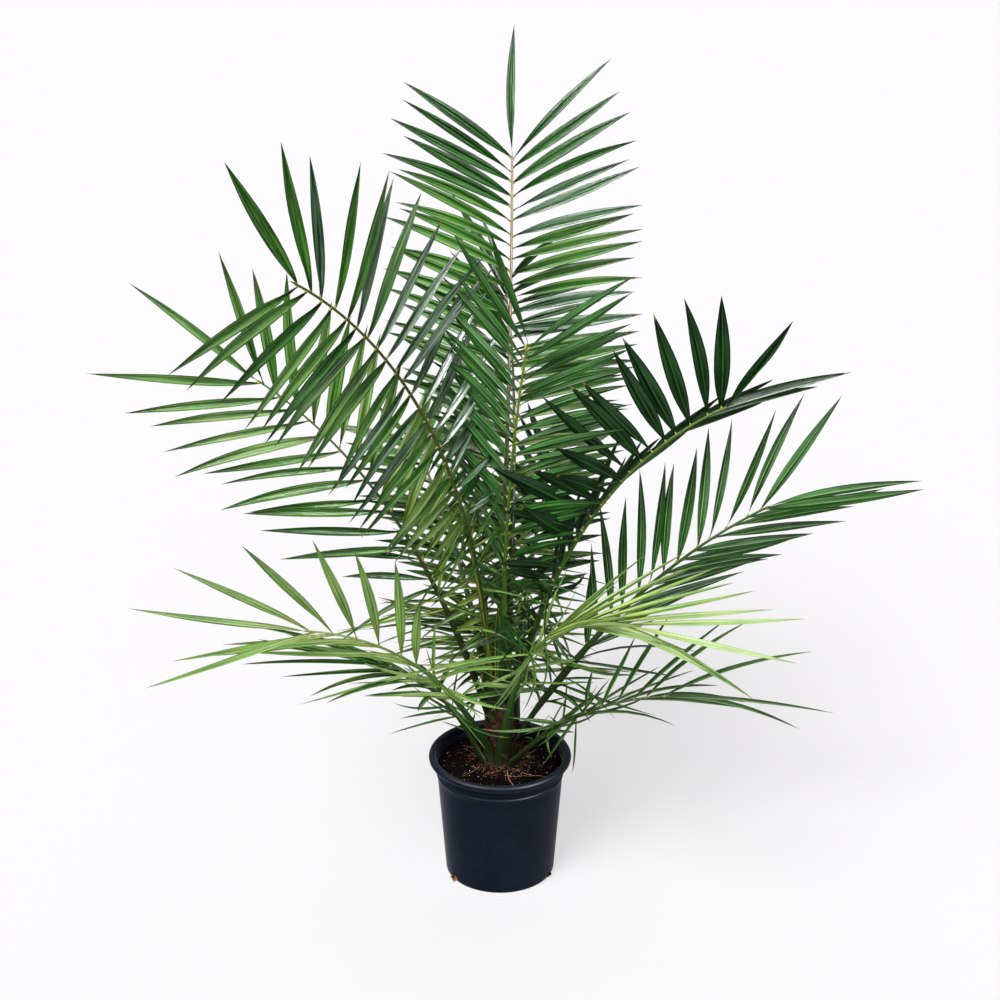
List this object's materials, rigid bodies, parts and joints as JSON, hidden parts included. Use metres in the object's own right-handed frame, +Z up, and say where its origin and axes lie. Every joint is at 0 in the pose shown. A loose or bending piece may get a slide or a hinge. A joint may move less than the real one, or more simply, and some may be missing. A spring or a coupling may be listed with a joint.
{
  "type": "potted date palm",
  "caption": "Young feather palm with arching pinnate fronds of stiff folded leaflets on a short fibrous stump, growing in a round tapered nursery pot.",
  "frame": {"origin": "centre of the pot's flat underside, where it stands on the floor", "axes": "+Z up; -Y is the plant's front, so +X is its right-hand side as seen from the front"},
  "size_m": [1.4481, 1.2034, 1.5161],
  "materials": {
    "pot": "satin blue-black moulded plastic",
    "soil": "loose dark peat with pale grains",
    "trunk": "matt brown fibre and old leaf bases",
    "frond": "glossy deep green leaf",
    "low_frond": "glossy yellow-green leaf",
    "spear": "satin pale green unopened leaf"
  },
  "bodies": {
    "root": {"pot": "pot", "soil": "soil", "trunk": "trunk", "frond_top": "frond", "frond_front": "frond", "frond_upper_left": "frond", "frond_right": "frond", "frond_left": "frond", "frond_back": "frond", "frond_back_left": "frond", "frond_back_right": "frond", "frond_far_right": "frond", "frond_low_right": "low_frond", "frond_low_left": "low_frond", "frond_low_back": "low_frond", "frond_lowest_left": "low_frond", "frond_lowest_right": "low_frond", "spear_tall": "spear", "spear_short": "spear"}
  },
  "joints": []
}
